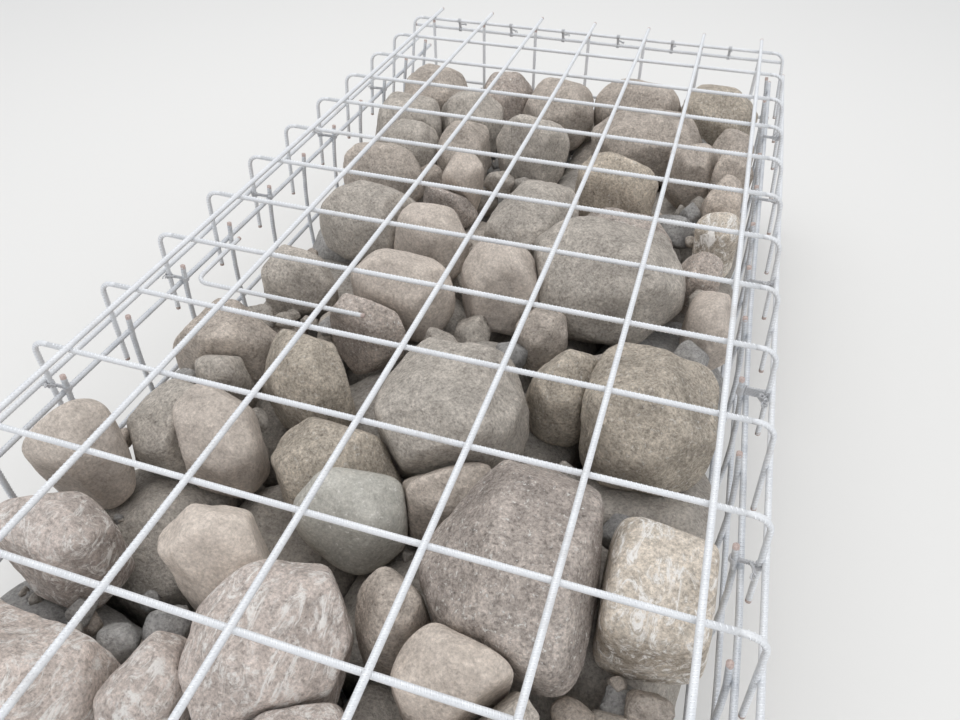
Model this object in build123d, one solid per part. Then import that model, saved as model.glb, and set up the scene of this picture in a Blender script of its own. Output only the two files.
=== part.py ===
# Gabion wall basket: a cage of welded ribbed bars filled with river boulders.
# Millimetres. Z is up, the wall runs along Y, and the ground is at Z = 0.
# The cage is a tray bent up at both sides, two end panels and a lid bent down over them.
from build123d import *
from itertools import combinations
import math
import os
import random

import numpy as np

# Mesh of the mats: square in plan, with the long bars' cut ends past the last cross bars
mesh_pitch = 150.0
bays_along = 13
bays_across = 6
bar = 8.0
bar_overhang = 70.0
cage_height = 500.0

# Bends of the bars, drawn as a few straight steps
bend_radius = 24.0
bend_lead = 8.0
bend_steps = 3
bulge_steps = 3

# Tray: from its last long bar to the bend, and up its bulging sides
tray_side_room = 6.0
side_bulge_angle = 10.0
upright_drop = 75.0
top_rail_drop = 38.0

# Lid: its bent legs hang outside the tray's rails
lid_side_room = 21.0
skirt_lean = 7.0
skirt_leg = 148.0
skirt_rail_drop = 60.0

# End panels, ties and the cross tie
end_rail_drop = 24.0
seat_gap = 0.3
tie_wire = 3.0
tie_clearance = 0.5
side_tie_bays = (1, 3, 5, 7, 9, 11)
cross_tie_bay = 5
cross_tie_inner_end = -140.0
cross_tie_hook = 150.0

# Boulders
stone_gap = 0.5
stone_nodes_along = 7
facet_jitter = 0.2
stone_seed = 41
top_stone_swell = 1.08
top_stone_sink = 65.0
lower_stones_across = 4
lower_stones_along = 7
lower_stone_swell = 1.3
lower_stone_half_height = 150.0
lower_stone_rise = (100.0, 118.0)
lower_stone_shift = (32.0, 45.0)
lower_stone_sizes = (0.85, 1.12)
lower_stone_turn = 40.0

# Boulders of the top layer, read from the photo in bays of the mesh: across from the
# middle, along from the first cross bar, half width, half length, turn, depth below the lid
top_stones = (
    (-2.95, 2.58, 0.47, 0.30, 0, 0.25),
    (-2.33, 3.33, 0.55, 0.43, 20, 0.75),
    (-2.58, 4.70, 0.45, 0.80, -25, 0.75),
    (-2.32, 5.92, 0.48, 0.30, 0, 0.60),
    (-2.32, 4.10, 0.26, 0.30, 25, 0.75),
    (-1.78, 3.25, 0.59, 0.35, -35, 0.50),
    (-1.30, 4.23, 0.59, 0.36, -35, 0.50),
    (-1.06, 5.06, 0.47, 0.52, 0, 0.62),
    (-0.92, 6.11, 0.65, 0.39, 0, 0.50),
    (0.46, 4.15, 0.74, 0.80, 0, 0.30),
    (-0.41, 3.21, 0.66, 0.40, 0, 0.60),
    (-0.06, 2.76, 0.52, 0.31, 15, 0.55),
    (0.76, 3.24, 0.52, 0.31, 0, 0.65),
    (-0.96, 1.93, 0.49, 0.30, -15, 0.40),
    (-2.40, 1.67, 0.53, 0.32, 0, 0.35),
    (-0.12, 1.32, 0.59, 0.67, 0, 0.35),
    (0.69, 1.92, 0.27, 0.30, 0, 0.65),
    (1.70, 2.58, 0.82, 0.92, 0, 0.25),
    (2.95, 2.65, 0.87, 0.52, 0, 0.30),
    (1.42, 1.51, 0.47, 0.30, 10, 0.45),
    (1.74, 1.25, 0.26, 0.38, 0, 0.55),
    (2.33, 4.75, 0.65, 0.71, 0, 0.30),
    (1.47, 4.91, 0.36, 0.39, 0, 0.50),
    (0.98, 5.92, 0.28, 0.30, 0, 0.80),
    (0.30, 6.57, 0.53, 0.32, 0, 0.40),
    (1.46, 6.98, 0.99, 0.73, 0, 0.25),
    (2.88, 6.70, 0.26, 0.43, 10, 0.75),
    (2.67, 7.73, 0.26, 0.30, 0, 0.80),
    (-1.86, 7.52, 0.83, 0.50, 0, 0.50),
    (-1.12, 7.36, 0.60, 0.36, 0, 0.55),
    (-1.17, 8.70, 0.40, 0.30, 0, 0.75),
    (0.34, 8.00, 0.57, 0.84, 0, 0.45),
    (1.52, 8.23, 0.70, 0.69, -15, 0.90),
    (-2.45, 9.00, 0.64, 0.42, 0, 0.60),
    (-1.09, 8.95, 0.26, 0.30, 0, 0.50),
    (-0.33, 10.36, 0.55, 0.33, 0, 0.40),
    (1.23, 9.31, 0.58, 0.35, 0, 0.35),
    (2.33, 10.30, 0.40, 0.30, 0, 0.50),
    (2.82, 9.36, 0.26, 0.44, 0, 0.55),
    (2.82, 8.59, 0.26, 0.30, 0, 0.60),
    (1.45, 11.30, 0.90, 0.50, 0, 0.55),
    (-1.70, 11.25, 0.55, 0.48, 0, 0.60),
    (-0.25, 12.10, 0.62, 0.50, 0, 0.55),
    (-2.72, 10.75, 0.62, 0.50, 0, 0.60),
    (2.85, 11.30, 0.34, 0.34, 0, 0.70),
    (2.85, 10.17, 0.26, 0.32, 0, 0.50),
    (2.50, 12.35, 0.66, 0.45, 0, 0.40),
    (1.15, 12.35, 0.80, 0.42, 0, 0.50),
    (-1.35, 12.30, 0.50, 0.45, 0, 0.62),
    (-2.70, 12.10, 0.62, 0.55, 0, 0.60),
    (-1.95, 0.40, 0.90, 0.54, 0, 0.45),
    (-0.84, 0.79, 0.26, 0.42, 0, 0.50),
    (0.49, 0.50, 0.44, 0.49, 0, 0.50),
    (1.75, 0.40, 0.66, 0.50, 0, 0.50),
    (2.80, 0.35, 0.48, 0.46, 0, 0.60),
    (-2.35, 9.95, 0.48, 0.42, 0, 0.65),
    (-1.48, 10.15, 0.40, 0.50, 0, 0.65),
)


def block(x_range, y_range, z_range):
    """A straight square piece between two corners."""
    size = [high - low for low, high in (x_range, y_range, z_range)]
    middle = [(high + low) / 2 for low, high in (x_range, y_range, z_range)]
    return Pos(*middle) * Box(*size)


def centred(value, width=bar):
    return (value - width / 2, value + width / 2)


def bar_line(start, heading, runs):
    """Corners of a bent bar's middle line in the plane across the wall.

    A run is (length,) for a straight or (radius, turn, steps) for a bend, left positive.
    """
    points = [Vector(*start)]
    ahead = Vector(1, 0).rotate(Axis.Z, heading)
    for run in runs:
        if len(run) == 1:
            points.append(points[-1] + ahead * run[0])
            continue
        radius, turn, steps = run
        half_step = turn / steps / 2
        chord = 2 * radius * math.sin(math.radians(abs(half_step)))
        for _ in range(steps):
            points.append(points[-1] + ahead.rotate(Axis.Z, half_step) * chord)
            ahead = ahead.rotate(Axis.Z, 2 * half_step)
    return points


def beside(points, distance):
    """The line moved sideways with mitred corners, left positive."""
    sides = [(b - a).normalized().rotate(Axis.Z, 90) for a, b in zip(points, points[1:])]
    sides = [sides[0], *sides, sides[-1]]
    moved = []
    for point, before, after in zip(points, sides, sides[1:]):
        middle = (before + after).normalized()
        moved.append(point + middle * (distance / middle.dot(before)))
    return moved


def bar_face(points):
    """Outline of a bar that follows the line."""
    outline = beside(points, bar / 2) + beside(points, -bar / 2)[::-1]
    return make_face(Polyline(*outline, close=True))


def bent_bar(line, y):
    """A bar along the line, one bar thick, centred at y along the wall."""
    return Pos(0, y + bar / 2, 0) * Rot(90, 0, 0) * extrude(bar_face(line), amount=bar)


def place_on(line, level):
    """The line's point at a level, and its lean there: degrees outward going up."""
    for a, b in zip(line, line[1:]):
        low, high = sorted((a, b), key=lambda point: point.Y)
        if low.Y < level <= high.Y:
            rise = high - low
            point = low + rise * ((level - low.Y) / rise.Y)
            return point, math.degrees(math.atan2(rise.X, rise.Y))
    raise ValueError(f"the bar doesn't reach level {level}")


def along_bar(x, z, turn=0):
    """A bar that runs the whole length of the wall."""
    return Pos(x, 0, z) * Rot(0, turn, 0) * Box(bar, cage_length, bar)


def rail_levels(top):
    """Levels of the rails of a standing mat, from its top rail down to the tray's floor."""
    count = math.ceil((top - tray_top - bar) / mesh_pitch)
    return [top - i * mesh_pitch for i in range(count)]


def outer_rail(line, level):
    """A bar along the wall, laid face to face on the outside of the line's bars."""
    point, lean = place_on(line, level)
    outward = Vector(1, 0).rotate(Axis.Z, -lean)
    middle = point + outward * bar
    return along_bar(middle.X, middle.Y, lean)


def fused(pieces):
    first, *others = pieces
    return first.fuse(*others)


def mirrored(shape):
    return mirror(shape, about=Plane.YZ)


def part_of(shape):
    """The single solid of a shape."""
    return shape.solids()[0]


# Mats: the long bars lie on the lid's cross bars and under the tray's
half_length = bays_along * mesh_pitch / 2
cage_length = 2 * (half_length + bar_overhang)
lid_cross_level = cage_height - 1.5 * bar
tray_cross_level = 1.5 * bar
tray_top = 2 * bar
cross_places = [i * mesh_pitch - half_length for i in range(bays_along + 1)]
long_places = [(i - bays_across / 2) * mesh_pitch for i in range(bays_across + 1)]

# The tray's upright, seen from the end of the wall
tray_flat_half = long_places[-1] + tray_side_room - bend_lead
upright_top = cage_height - upright_drop
bend_rise = bend_radius * (1 - math.sin(math.radians(side_bulge_angle)))
bulge_rise = upright_top - tray_cross_level - bend_rise
bulge_radius = bulge_rise / (2 * math.sin(math.radians(side_bulge_angle)))
upright_line = bar_line(
    (tray_flat_half, tray_cross_level),
    0,
    [
        (bend_lead,),
        (bend_radius, 90 - side_bulge_angle, bend_steps),
        (bulge_radius, 2 * side_bulge_angle, bulge_steps),
    ],
)
top_rail_level = upright_top - top_rail_drop

# The lid's bent leg, which clears the tray's top rail by the side room
leg_lean = math.radians(skirt_lean)
leg_top_level = lid_cross_level - bend_radius * (1 - math.sin(leg_lean))
leg_at_rail = place_on(upright_line, top_rail_level)[0].X + 2 * bar + lid_side_room
leg_spread = (leg_top_level - top_rail_level) * math.tan(leg_lean)
lid_flat_half = leg_at_rail - leg_spread - bend_radius * math.cos(leg_lean) - bend_lead
leg_line = bar_line(
    (lid_flat_half, lid_cross_level),
    0,
    [(bend_lead,), (bend_radius, skirt_lean - 90, bend_steps), (skirt_leg,)],
)
skirt_rail_level = leg_top_level - skirt_rail_drop * math.cos(leg_lean)

# Levels and places of what holds the cage together
end_rail_top = lid_cross_level - end_rail_drop
side_tie_level = (top_rail_level + skirt_rail_level) / 2
cross_tie_level = top_rail_level
cross_tie_y = cross_places[cross_tie_bay] + bar + seat_gap


def make_lid_top():
    cross_bars = [
        block((-lid_flat_half, lid_flat_half), centred(y), centred(lid_cross_level))
        for y in cross_places
    ]
    long_bars = [along_bar(x, lid_cross_level + bar) for x in long_places]
    return fused(cross_bars + long_bars)


def make_lid_skirt():
    """The bent-down ends of the lid's cross bars on the +X side, and the bar along them."""
    legs = [bent_bar(leg_line, y) for y in cross_places]
    return fused(legs + [outer_rail(leg_line, skirt_rail_level)])


def make_tray_base():
    cross_bars = [
        block((-tray_flat_half, tray_flat_half), centred(y), centred(tray_cross_level))
        for y in cross_places
    ]
    long_bars = [along_bar(x, tray_cross_level - bar) for x in long_places]
    return fused(cross_bars + long_bars)


def make_tray_side():
    """The bent-up ends of the tray's cross bars on the +X side, with their rails outside."""
    uprights = [bent_bar(upright_line, y) for y in cross_places]
    rails = [outer_rail(upright_line, level) for level in rail_levels(top_rail_level)]
    return fused(uprights + rails)


def make_end_panel(cross_place, outward):
    """Flat mat at one end: uprights inside, rails outside. outward is +1 or -1 along Y."""
    rail_y = cross_place + outward * (bar + seat_gap)
    upright_y = rail_y - outward * bar
    uprights = [
        block(centred(x), centred(upright_y), (tray_top, lid_cross_level - bar / 2))
        for x in long_places
    ]
    half = place_on(leg_line, end_rail_top)[0].X
    rails = [
        block((-half, half), centred(rail_y), centred(level))
        for level in rail_levels(end_rail_top)
    ]
    return fused(uprights + rails)


def make_end_ties(cross_place, outward):
    """Wire loops that hold the lid's last cross bar to the end panel's top rail."""
    inner = cross_place - outward * (bar / 2 + tie_clearance)
    outer = cross_place + outward * (bar * 1.5 + seat_gap + tie_clearance)
    y_low, y_high = sorted((inner, outer))
    z_low = end_rail_top - bar / 2 - tie_clearance
    z_high = lid_cross_level + bar / 2 + tie_clearance
    loops = []
    for left, right in zip(long_places, long_places[1:]):
        x = (left + right) / 2
        around = block(
            centred(x, tie_wire),
            (y_low - tie_wire, y_high + tie_wire),
            (z_low - tie_wire, z_high + tie_wire),
        )
        hole = block(centred(x, 2 * tie_wire), (y_low, y_high), (z_low, z_high))
        loops.append(part_of(around - hole))
    return Compound(children=loops)


def make_side_ties():
    """Wire loops that hold the lid's bent legs to the tray's uprights on the +X side."""
    x_low = place_on(upright_line, side_tie_level)[0].X - bar / 2 - tie_clearance
    x_high = place_on(leg_line, side_tie_level)[0].X + bar / 2 + tie_clearance
    hole_width = bar + 2 * tie_clearance
    loops = []
    for bay in side_tie_bays:
        y = cross_places[bay]
        around = block(
            (x_low - tie_wire, x_high + tie_wire),
            centred(y, hole_width + 2 * tie_wire),
            centred(side_tie_level, tie_wire),
        )
        hole = block((x_low, x_high), centred(y, hole_width), centred(side_tie_level, 2 * tie_wire))
        loops.append(part_of(around - hole))
    return Compound(children=loops)


def make_cross_tie():
    """A bar across the fill whose hooked end lies against an upright of the tray."""
    hook_x = place_on(upright_line, cross_tie_level + bar / 2)[0].X - bar - seat_gap
    line = bar_line(
        (cross_tie_inner_end, cross_tie_y),
        180,
        [
            (cross_tie_inner_end + hook_x - bend_radius,),
            (bend_radius, -90, bend_steps),
            (cross_tie_hook - bend_radius,),
        ],
    )
    return Pos(0, 0, cross_tie_level - bar / 2) * extrude(bar_face(line), amount=bar)


class Boulder:
    """A faceted boulder: an ellipsoid's tangent planes, then cuts against its neighbours."""

    # The six sides of a box and its twelve edges, each a direction of one facet
    directions = [
        (x, y, z)
        for x in (-1, 0, 1)
        for y in (-1, 0, 1)
        for z in (-1, 0, 1)
        if 1 <= abs(x) + abs(y) + abs(z) <= 2
    ]

    def __init__(self, middle, radii, turn, rng):
        self.middle = Vector(*middle)
        self.radii = radii
        self.turn = turn
        self.normals = []
        for direction in self.directions:
            jitter = Vector(*(rng.uniform(-facet_jitter, facet_jitter) for _ in range(3)))
            self.normals.append((Vector(*direction) + jitter).normalized())

    def reach(self, direction):
        """Distance from the middle to the ellipsoid's tangent plane in a direction."""
        local = direction.rotate(Axis.Z, -self.turn)
        return math.hypot(*(r * c for r, c in zip(self.radii, local)))

    def near(self, other):
        """Whether the facets of two boulders could meet: a box stands out by root three."""
        apart = other.middle - self.middle
        direction = apart.normalized()
        return apart.length < math.sqrt(3) * (self.reach(direction) + other.reach(direction))

    def planes(self, others, walls):
        """Planes that bound the boulder, each as (normal, distance from the middle)."""
        planes = [(normal, self.reach(normal)) for normal in self.normals]
        for other in others:
            apart = other.middle - self.middle
            direction = apart.normalized()
            own, its = self.reach(direction), other.reach(direction)
            planes.append((direction, apart.length * own / (own + its) - stone_gap / 2))
        for normal, limit in walls:
            planes.append((normal, limit - self.middle.dot(normal)))
        return planes

    def solid(self, others, walls):
        planes = self.planes(others, walls)
        normals = np.array([tuple(normal) for normal, _ in planes])
        limits = np.array([limit for _, limit in planes])
        return Pos(*self.middle) * part_of(ConvexPolyhedron(corners_within(normals, limits)))


def corners_within(normals, limits):
    """Corners of the convex space that lies inside all the planes."""
    near_zero = 1e-6
    triples = np.array(list(combinations(range(len(normals)), 3)))
    meeting = abs(np.linalg.det(normals[triples])) > near_zero
    triples = triples[meeting]
    points = np.linalg.solve(normals[triples], limits[triples][..., None])[..., 0]
    inside = (points @ normals.T <= limits + near_zero).all(axis=1)
    points = points[inside]
    kept = np.unique(points.round(4), axis=0, return_index=True)[1]
    return [tuple(float(c) for c in point) for point in points[kept]]


def place_boulders():
    """The boulders of both layers: the top one as in the photo, the lower one evenly packed."""
    rng = random.Random(stone_seed)
    boulders = []
    swollen = mesh_pitch * top_stone_swell
    lower_top = tray_top + lower_stone_rise[1] + lower_stone_half_height
    foot = lower_top - top_stone_sink
    for across, along, half_x, half_y, turn, depth in top_stones:
        top = lid_cross_level - depth * mesh_pitch
        half_z = (top - foot) / 2
        middle = (across * mesh_pitch, along * mesh_pitch - half_length, top - half_z)
        boulders.append(Boulder(middle, (half_x * swollen, half_y * swollen, half_z), turn, rng))
    inner_half = upright_line[-1].X - bar / 2
    step_x = 2 * inner_half / lower_stones_across
    step_y = 2 * half_length / lower_stones_along
    half_sizes = (step_x / 2 * lower_stone_swell, step_y / 2 * lower_stone_swell, lower_stone_half_height)
    shift_x, shift_y = lower_stone_shift
    for row in range(lower_stones_along):
        for column in range(lower_stones_across):
            x = (column + 0.5) * step_x - inner_half + rng.uniform(-shift_x, shift_x)
            y = (row + 0.5) * step_y - half_length + rng.uniform(-shift_y, shift_y)
            z = tray_top + rng.uniform(*lower_stone_rise)
            radii = [half * rng.uniform(*lower_stone_sizes) for half in half_sizes]
            turn = rng.uniform(-lower_stone_turn, lower_stone_turn)
            boulders.append(Boulder((x, y, z), radii, turn, rng))
    return boulders


def cage_walls():
    """Planes just inside the cage, each as (normal, distance from the origin)."""
    end = half_length - bar / 2 - seat_gap
    walls = [
        (Vector(0, 1, 0), end),
        (Vector(0, -1, 0), end),
        (Vector(0, 0, -1), -(tray_top + seat_gap)),
    ]
    for low, high in zip(upright_line, upright_line[1:]):
        rise = high - low
        normal = Vector(rise.Y, 0, -rise.X).normalized()
        inside = bar / 2 + seat_gap
        if high.Y > side_tie_level:
            inside += tie_clearance + tie_wire
        limit = normal.dot(Vector(low.X, 0, low.Y)) - inside
        walls += [(normal, limit), (Vector(-normal.X, 0, normal.Z), limit)]
    return walls


def tie_walls(boulder):
    """Keeps a boulder of the top layer on its own side of the cross tie."""
    reach_x = boulder.reach(Vector(1, 0, 0))
    reach_y = boulder.reach(Vector(0, 1, 0))
    if boulder.middle.X - reach_x > cross_tie_inner_end + bar:
        return []
    offset = boulder.middle.Y - cross_tie_y
    if abs(offset) - reach_y > bar / 2 + seat_gap:
        return []
    side = math.copysign(1, offset)
    limit = cross_tie_y + side * (bar / 2 + seat_gap)
    return [(Vector(0, -side, 0), -side * limit)]


def make_stones():
    """Boulder solids sorted into groups along the wall, top layer and lower layer."""
    boulders = place_boulders()
    walls = cage_walls()
    groups = {}
    for index, boulder in enumerate(boulders):
        layer = "top" if index < len(top_stones) else "lower"
        own_walls = walls + tie_walls(boulder) if layer == "top" else walls
        near = [other for other in boulders if other is not boulder and boulder.near(other)]
        share = (boulder.middle.Y + half_length) / (2 * half_length)
        number = min(stone_nodes_along, int(share * stone_nodes_along) + 1)
        groups.setdefault((layer, number), []).append(boulder.solid(near, own_walls))
    return groups


def build_pieces():
    """Every piece of the wall, by name."""
    skirt = make_lid_skirt()
    tray_side = make_tray_side()
    side_ties = make_side_ties()
    near_place, far_place = cross_places[0], cross_places[-1]
    pieces = {
        "lid_top_mat": make_lid_top(),
        "lid_right_skirt": skirt,
        "lid_left_skirt": mirrored(skirt),
        "tray_base_mat": make_tray_base(),
        "tray_right_side": tray_side,
        "tray_left_side": mirrored(tray_side),
        "near_end_panel": make_end_panel(near_place, -1),
        "far_end_panel": make_end_panel(far_place, 1),
        "near_end_ties": make_end_ties(near_place, -1),
        "far_end_ties": make_end_ties(far_place, 1),
        "right_side_ties": side_ties,
        "left_side_ties": mirrored(side_ties),
        "cross_tie": make_cross_tie(),
    }
    for (layer, number), solids in sorted(make_stones().items()):
        pieces[f"{layer}_stones_{number}"] = Compound(children=solids)
    return pieces


os.makedirs("parts", exist_ok=True)
for name, shape in build_pieces().items():
    export_step(shape, f"parts/{name}.step")
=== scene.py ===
import math
import random

import bpy
import bmesh
import numpy as np
from mathutils import Matrix, Vector, noise
from mathutils.bvhtree import BVHTree


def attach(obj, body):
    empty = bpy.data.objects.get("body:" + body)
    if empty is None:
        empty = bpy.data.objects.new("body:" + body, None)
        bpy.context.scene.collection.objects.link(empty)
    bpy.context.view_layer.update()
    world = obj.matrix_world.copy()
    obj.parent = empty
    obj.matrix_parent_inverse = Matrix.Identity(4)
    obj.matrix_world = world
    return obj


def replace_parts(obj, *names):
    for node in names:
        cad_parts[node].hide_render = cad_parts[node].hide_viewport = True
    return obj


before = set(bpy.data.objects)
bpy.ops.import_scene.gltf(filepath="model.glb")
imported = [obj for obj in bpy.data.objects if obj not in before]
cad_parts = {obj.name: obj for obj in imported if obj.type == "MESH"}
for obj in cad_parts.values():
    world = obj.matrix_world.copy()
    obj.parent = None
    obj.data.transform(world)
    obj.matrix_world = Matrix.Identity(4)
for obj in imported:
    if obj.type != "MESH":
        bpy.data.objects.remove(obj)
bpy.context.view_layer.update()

# Sizes of the cage, in metres, as in the part
PITCH = 0.150
BAR = 0.008
END_Y = 0.975
CROSS_BARS = [i * PITCH - END_Y for i in range(14)]
LONG_BARS = [(i - 3) * PITCH for i in range(7)]
BAR_END = 1.0449
LID_CROSS_Z = 0.488
LID_LONG_Z = 0.496
LID_FLAT_HALF = 0.47944
TRAY_CROSS_Z = 0.012
TRAY_LONG_Z = 0.004
TRAY_FLAT_HALF = 0.448
BEND_LEAD = 0.008
BEND_RADIUS = 0.024
LEG_LENGTH = 0.148
BULGE_ANGLE = 10.0
BULGE_RADIUS = 1.13208
SEAT_GAP = 0.0003
SKIRT_RAIL_Z = 0.40737
TRAY_RAILS_Z = (0.387, 0.237, 0.087)
END_RAILS_Z = (0.464, 0.314, 0.164)
END_RAIL_HALF = 0.51162
BOX_HALF_WIDTH = 0.53327
CROSS_TIE_Y = -0.2167
CROSS_TIE_Z = 0.387
CROSS_TIE_TIP_X = -0.14
HOOK_X = -0.47531
HOOK_LENGTH = 0.150
SIDES = (("right", 1), ("left", -1))
ENDS = (("near", -1), ("far", 1))
ALONG = (0.0, 1.0, 0.0)
UP = (0.0, 0.0, 1.0)

# Bars as they look over their zinc
CROSS_RADIUS = 0.0041
LONG_RADIUS = 0.0044
TRAY_RADIUS = 0.0044
BAR_SIDES = 10
BOX_MARGIN = 0.0002
LID_MARGIN = 0.0001
SKIRT_RAIL_LIFT = 0.001
TRAY_RAIL_BITE = 0.0005
RUST_LENGTH = 0.012

# A rib as (degrees round the bar, place along it, height over it), and its closed faces
RIB_STEP = 0.006
RIB_FIRST = 0.006
RIB_LAST = 0.004
RIB_CLEAR = 0.003
RIB_HEIGHT = 0.0010
RIB_SPAN = 68.0
RIB_SHOULDER = 25.0
RIB_SLANT = 0.0019
RIB_HALF_WIDTH = 0.0016
RIB_FOOT = -0.0003
RIB_TIP = -0.0004
RIB_SECTION = ((-RIB_HALF_WIDTH, RIB_FOOT), (0.0, RIB_HEIGHT), (RIB_HALF_WIDTH, RIB_FOOT))
RIB_POINTS = (
    (-RIB_SPAN, 0.0, RIB_TIP),
    *((-RIB_SHOULDER, *point) for point in RIB_SECTION),
    *((RIB_SHOULDER, *point) for point in RIB_SECTION),
    (RIB_SPAN, 0.0, RIB_TIP),
)
RIB_FACES = (
    (0, 2, 1), (0, 3, 2), (1, 2, 5, 4), (2, 3, 6, 5), (4, 5, 7), (5, 6, 7),
    (0, 1, 3), (1, 4, 6, 3), (4, 7, 6),
)
# Painted shade and highlight on the bars: 0 at a rib's foot, 1 at its crest, and a level between for the
# surface of a ribbed or a plain bar
RIBBED_BAR_SHADING = 0.25
PLAIN_BAR_SHADING = 0.6

# How the cage is out of true: a bow is (at its middle, all along) for each long bar, and the
# other tables are (place along the wall, push outwards) for each side
CROSS_WOBBLE = 0.0012
LONG_WOBBLE = 0.0010
RAIL_WOBBLE = 0.0005
WAVE_FALL = 0.6
WAVE_FIRST = 1.3
WAVE_TURNS = 3.1
LONG_SAG = 0.0003
SAG_TURNS = 9
END_HOLD = 8
BOW_POWER = 0.8
LONG_BOWS = (
    (0.004, 0.002), (0.003, 0.003), (0.004, 0.001), (0.0045, 0.002),
    (0.0035, 0.001), (0.0025, -0.001), (0.001, -0.002),
)
LID_OUT = {
    1: ((-0.9, 0.007), (-0.4, 0.007), (0.3, 0.005), (0.6, 0.001), (0.98, -0.003)),
    -1: ((-0.9, 0.004), (-0.4, 0.005), (0.3, 0.006), (0.6, 0.002), (0.98, 0.0)),
}
TRAY_OUT = {
    1: ((-0.98, 0.013), (-0.6, 0.012), (-0.4, 0.006), (-0.2, 0.0), (0.0, -0.003), (0.98, 0.0)),
    -1: ((-0.98, 0.009), (-0.5, 0.009), (-0.3, 0.006), (0.0, 0.003), (0.98, 0.0)),
}

# Steps of the lines that bars follow
ACROSS_POINTS = 15
ALONG_POINTS = 29
ARC_STEPS = 8
LEG_POINTS = 3

# Random draws
FULL_TURN = 6.28
BOULDER_SEED = 100
SMALL_STONE_SEED = 900
RUBBLE_SEED = 5
TIE_SEED = 9
BAR_SEED = 12
rng = random.Random(BAR_SEED)

# Camera, fitted to the crossings of the lid
CAMERA_PLACE = Vector((0.35378, -1.09527, 1.18163))
CAMERA_RIGHT = Vector((0.952337, 0.305023, -0.003986))
CAMERA_UP = Vector((-0.202386, 0.641555, 0.739897))
CAMERA_BACK = Vector((0.228243, -0.703824, 0.672709))
SENSOR_WIDTH = 36
LENS = 27.612
CLIP_START = 0.02


# Meshes

def placed_object(name, data):
    obj = bpy.data.objects.new(name, data)
    bpy.context.scene.collection.objects.link(obj)
    return obj


def make_piece(name, verts, faces, materials, attributes=None):
    mesh = bpy.data.meshes.new(name)
    mesh.from_pydata(verts, [], faces)
    mesh.update()
    mesh.polygons.foreach_set("use_smooth", np.ones(len(mesh.polygons), bool))
    for key, values in (attributes or {}).items():
        layer = mesh.attributes.new(key, "FLOAT", "POINT")
        layer.data.foreach_set("value", np.asarray(values, np.float32))
    for material in materials:
        mesh.materials.append(material)
    obj = placed_object(name, mesh)
    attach(obj, "root")
    return obj


def tube_faces(base, rings, sides):
    """Faces of a closed tube whose points start at base, one ring of them after another."""
    faces = []
    for i in range(rings - 1):
        a, b = base + i * sides, base + (i + 1) * sides
        for j in range(sides):
            k = (j + 1) % sides
            faces.append((a + j, a + k, b + k, b + j))
    last = base + (rings - 1) * sides
    faces.append(tuple(base + j for j in range(sides - 1, -1, -1)))
    faces.append(tuple(last + j for j in range(sides)))
    return faces


class Bars:
    """Round ribbed bars gathered into one mesh."""

    def __init__(self, radius):
        self.radius = radius
        self.verts, self.faces = [], []
        self.along, self.rust, self.rib_shading = [], [], []
        self.count = 0

    def add(self, points, side, ribs=True, cut=(True, True), radius=None):
        """A bar through the points; side is a direction square to the whole path."""
        radius = radius or self.radius
        points = with_end_rings(np.array(points, float), cut)
        tangents, lengths = tangents_of(points)
        side = np.array(side, float)
        other = np.cross(tangents, side)
        angles = np.linspace(0, 2 * math.pi, BAR_SIDES, endpoint=False)[:, None]
        ring = points[:, None] + radius * np.cos(angles) * side + radius * np.sin(angles) * other[:, None]
        rings = len(points)
        self.verts.append(ring.reshape(-1, 3))
        self.faces += tube_faces(self.count, rings, BAR_SIDES)
        rusty = np.zeros(rings)
        rusty[0], rusty[-1] = cut
        total = rings * BAR_SIDES
        self.rust.append(np.repeat(rusty, BAR_SIDES))
        self.rib_shading.append(np.full(total, RIBBED_BAR_SHADING if ribs else PLAIN_BAR_SHADING))
        self.along.append(np.repeat(np.zeros(rings) if ribs else lengths, BAR_SIDES))
        self.count += total
        if ribs:
            self.add_ribs(points, tangents, lengths, side, radius)

    def add_ribs(self, points, tangents, lengths, side, radius):
        """Slanted crescent ribs in two rows along the bar, each a closed spindle sunk in it."""
        places = np.arange(RIB_FIRST + rng.random() * RIB_STEP, lengths[-1] - RIB_LAST, RIB_STEP)
        for row, start in enumerate((0.0, math.pi)):
            s = places + row * RIB_STEP / 2
            s = s[s < lengths[-1] - RIB_CLEAR]
            grid = []
            for angle, offset, level in RIB_POINTS:
                at = s + RIB_SLANT * angle / RIB_SPAN + offset
                centre = np.stack([np.interp(at, lengths, points[:, c]) for c in range(3)], 1)
                ahead = np.stack([np.interp(at, lengths, tangents[:, c]) for c in range(3)], 1)
                other = np.cross(ahead, side)
                turned = math.radians(angle) + start
                direction = math.cos(turned) * side + math.sin(turned) * other
                grid.append(centre + direction * (radius + level))
            self.verts.append(np.stack(grid, 1).reshape(-1, 3))
            total = len(s) * len(RIB_POINTS)
            for first in range(self.count, self.count + total, len(RIB_POINTS)):
                self.faces += [tuple(first + corner for corner in corners) for corners in RIB_FACES]
            rib_shading = [1.0 if level > 0 else 0.0 for _, _, level in RIB_POINTS]
            self.rust.append(np.zeros(total))
            self.rib_shading.append(np.tile(rib_shading, len(s)))
            self.along.append(np.zeros(total))
            self.count += total

    def piece(self, name, material, slot):
        verts = np.concatenate(self.verts).tolist()
        attributes = {key: np.concatenate(getattr(self, key)) for key in ("along", "rust", "rib_shading")}
        return make_piece(name, verts, self.faces, [material], attributes)


def unit(rows):
    """Each row as a direction of length one."""
    return rows / np.linalg.norm(rows, axis=1)[:, None]


def tangents_of(points):
    """Directions of a path at its points, and the length of the path up to each."""
    steps = np.diff(points, axis=0)
    ahead = unit(steps)
    tangents = unit(np.concatenate([ahead[:1], ahead[:-1] + ahead[1:], ahead[-1:]]))
    return tangents, np.concatenate([[0.0], np.cumsum(np.linalg.norm(steps, axis=1))])


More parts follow.
